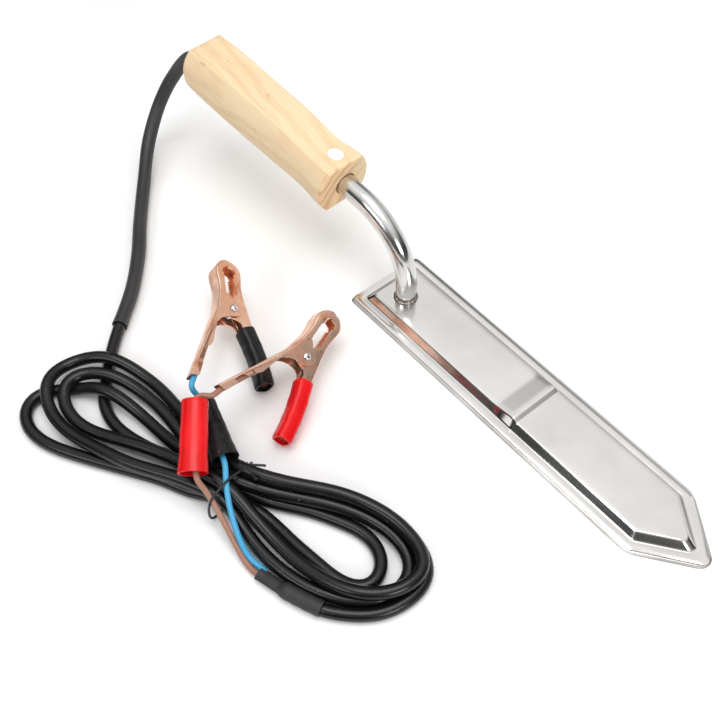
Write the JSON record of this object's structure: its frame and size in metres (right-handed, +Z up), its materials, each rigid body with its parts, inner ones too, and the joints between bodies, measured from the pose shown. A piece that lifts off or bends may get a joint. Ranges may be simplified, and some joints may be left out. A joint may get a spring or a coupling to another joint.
{
  "type": "electric uncapping knife",
  "caption": "Heated steel knife for uncapping honeycomb, with a bent neck tube, a wooden handle and a tied lead ending in battery clips.",
  "frame": {"origin": "on the table plane, under the middle of the knife's box, measured without the lead and its clips", "axes": "+X along the blade from the handle to the tip, +Z up from the table, +Y to the blade's left edge"},
  "size_m": [0.4123, 0.2346, 0.082],
  "materials": {
    "blade_steel": "satin stainless steel with a fine ground edge",
    "tray_steel": "pressed stainless sheet, polished bright",
    "tube_steel": "polished stainless tube",
    "weld_steel": "ground weld bead",
    "mica": "mica sheet",
    "heater_ribbon": "mica card wound with resistance ribbon",
    "lead_sleeving": "woven glass sleeving",
    "splice_tin": "tinned crimp sleeve",
    "pine_wood": "pale pine, fine grain along the handle, light varnish",
    "sticker_paper": "plain white paper label",
    "sleeve_jacket": "black outer sleeve",
    "cable_jacket": "glossy black cable jacket",
    "shrink_black": "matt black heat-shrink",
    "tie_black": "coated wire",
    "wire_brown": "tan brown core insulation",
    "wire_blue": "light blue core insulation",
    "vinyl_red": "soft red vinyl",
    "vinyl_black": "soft black vinyl",
    "clip_copper": "copper-plated pressed steel",
    "rivet_steel": "bright plated steel"
  },
  "bodies": {
    "knife": {"blade_plate": "blade_steel", "blade_cover": "tray_steel", "heater_mica_lower": "mica", "heater_core": "heater_ribbon", "heater_mica_upper": "mica", "heater_lead_a": "lead_sleeving", "heater_lead_b": "lead_sleeving", "neck_tube": "tube_steel", "neck_weld": "weld_steel", "wood_handle": "pine_wood", "handle_sticker": "sticker_paper", "splice_a": "splice_tin", "splice_b": "splice_tin", "cable_core_a": "wire_brown", "cable_core_b": "wire_blue", "cable_sleeve": "sleeve_jacket", "cable_lead": "cable_jacket", "cable_hank": "cable_jacket", "cable_tail": "cable_jacket", "cable_shrink": "shrink_black", "twist_tie": "tie_black", "wire_brown": "wire_brown", "wire_blue": "wire_blue", "clip_black_fixed_jaw": "clip_copper", "clip_black_rivet": "rivet_steel", "clip_black_spring": "rivet_steel", "clip_red_fixed_jaw": "clip_copper", "clip_red_rivet": "rivet_steel", "clip_red_spring": "rivet_steel"},
    "black_jaw": {"clip_black_moving_jaw": "clip_copper", "clip_black_grip": "vinyl_black"},
    "red_jaw": {"clip_red_moving_jaw": "clip_copper", "clip_red_grip": "vinyl_red"},
    "red_boot": {"boot_red": "vinyl_red"},
    "black_boot": {"boot_black": "vinyl_black"}
  },
  "joints": [
    {"name": "black_clip_pivot", "type": "hinge", "parent": "knife", "child": "black_jaw", "pos_m": [-0.0617, -0.0896, 0.0206], "axis": [-0.3553, -0.4202, -0.835], "range_deg": [0, 25], "stiffness_Nm_per_rad": 0.3, "deforming": ["clip_black_spring"]},
    {"name": "red_clip_pivot", "type": "hinge", "parent": "knife", "child": "red_jaw", "pos_m": [-0.015, -0.0776, 0.0181], "axis": [-0.5879, -0.225, -0.777], "range_deg": [0, 25], "stiffness_Nm_per_rad": 0.3, "deforming": ["clip_red_spring"]},
    {"name": "red_boot_slide", "type": "slide", "parent": "knife", "child": "red_boot", "axis": [-0.7582, 0.5946, 0.2676], "range_m": [-0.003, 0.004], "deforming": ["wire_brown"]},
    {"name": "black_boot_slide", "type": "slide", "parent": "knife", "child": "black_boot", "axis": [-0.9538, 0.2974, -0.0436], "range_m": [0, 0.004], "deforming": ["wire_blue"]}
  ]
}
